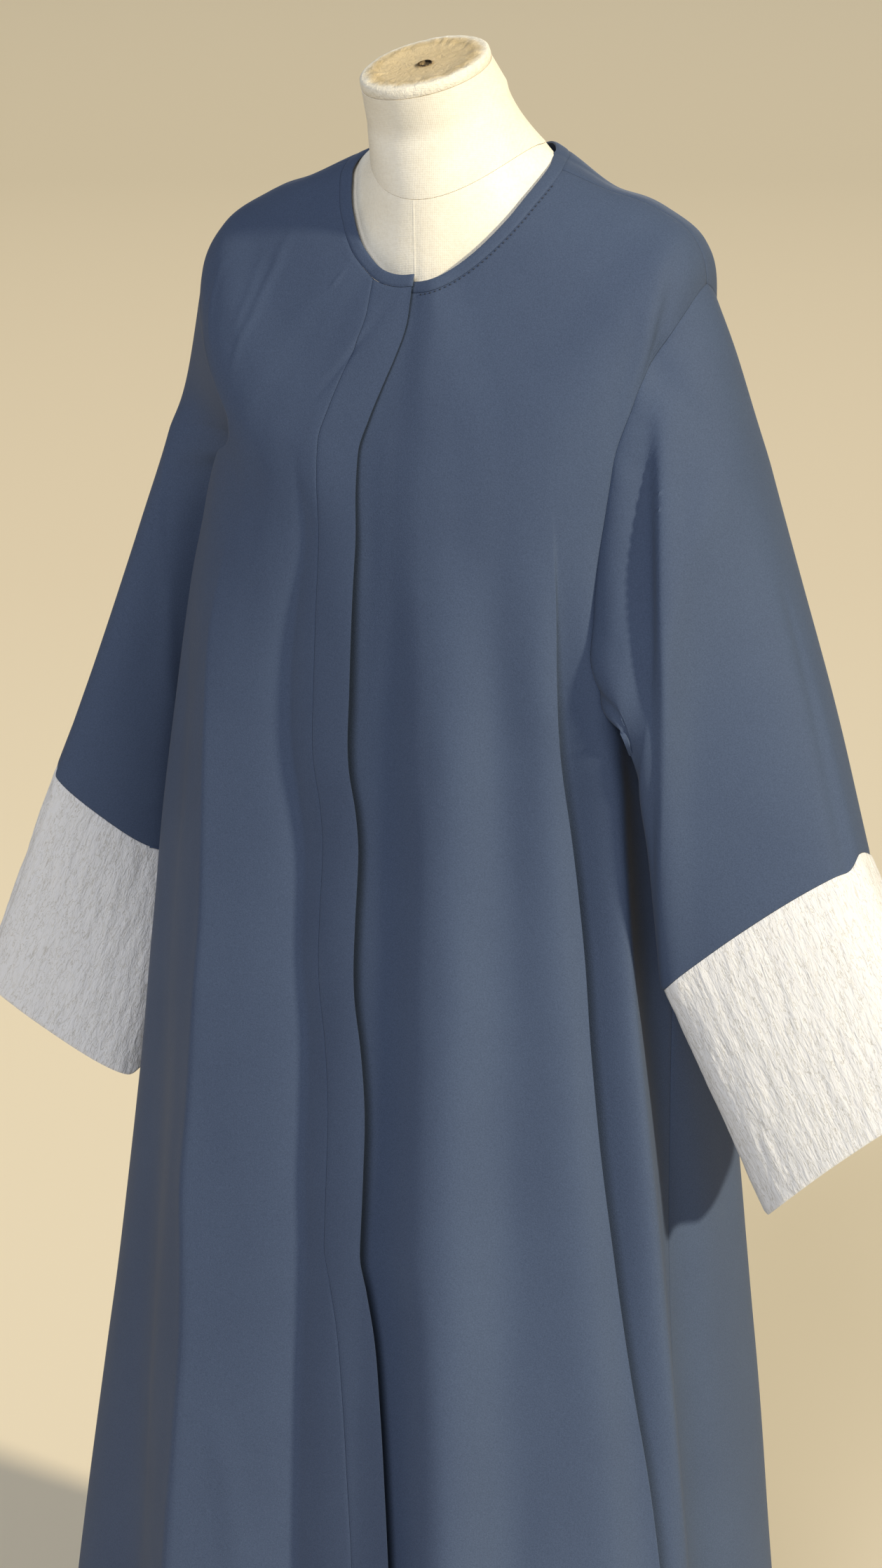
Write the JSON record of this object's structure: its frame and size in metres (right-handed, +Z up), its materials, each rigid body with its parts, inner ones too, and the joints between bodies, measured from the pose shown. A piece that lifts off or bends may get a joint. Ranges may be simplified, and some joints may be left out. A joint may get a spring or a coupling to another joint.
{
  "type": "abaya cloak on a dress form",
  "caption": "A long open-front abaya with a hidden placket, wide sleeves and broad contrast cuffs, hanging on a limbless dress form with a pole and a round base.",
  "frame": {"origin": "The centre of the stand base's underside, on the floor.", "axes": "+X is the wearer's left, +Y the wearer's back (the front faces -Y), +Z up."},
  "size_m": [0.9008, 0.4845, 1.5415],
  "materials": {
    "front_right": "slate blue matt crepe",
    "placket": "slate blue matt crepe",
    "front_left": "slate blue matt crepe",
    "back": "slate blue matt crepe",
    "sleeve_left": "slate blue matt crepe",
    "sleeve_right": "slate blue matt crepe",
    "cuff_left": "off-white crinkled cloth",
    "cuff_right": "off-white crinkled cloth",
    "neck_binding": "slate blue matt crepe",
    "form_torso": "cream linen over a hard shell",
    "form_neck": "cream linen over a hard shell",
    "form_neck_cap": "worn linen cap",
    "stand_pole": "satin",
    "stand_base": "satin"
  },
  "bodies": {
    "root": {"front_right": "front_right", "placket": "placket", "front_left": "front_left", "back": "back", "sleeve_left": "sleeve_left", "sleeve_right": "sleeve_right", "cuff_left": "cuff_left", "cuff_right": "cuff_right", "neck_binding": "neck_binding", "form_torso": "form_torso", "form_neck": "form_neck", "form_neck_cap": "form_neck_cap", "stand_pole": "stand_pole", "stand_base": "stand_base"}
  },
  "joints": []
}
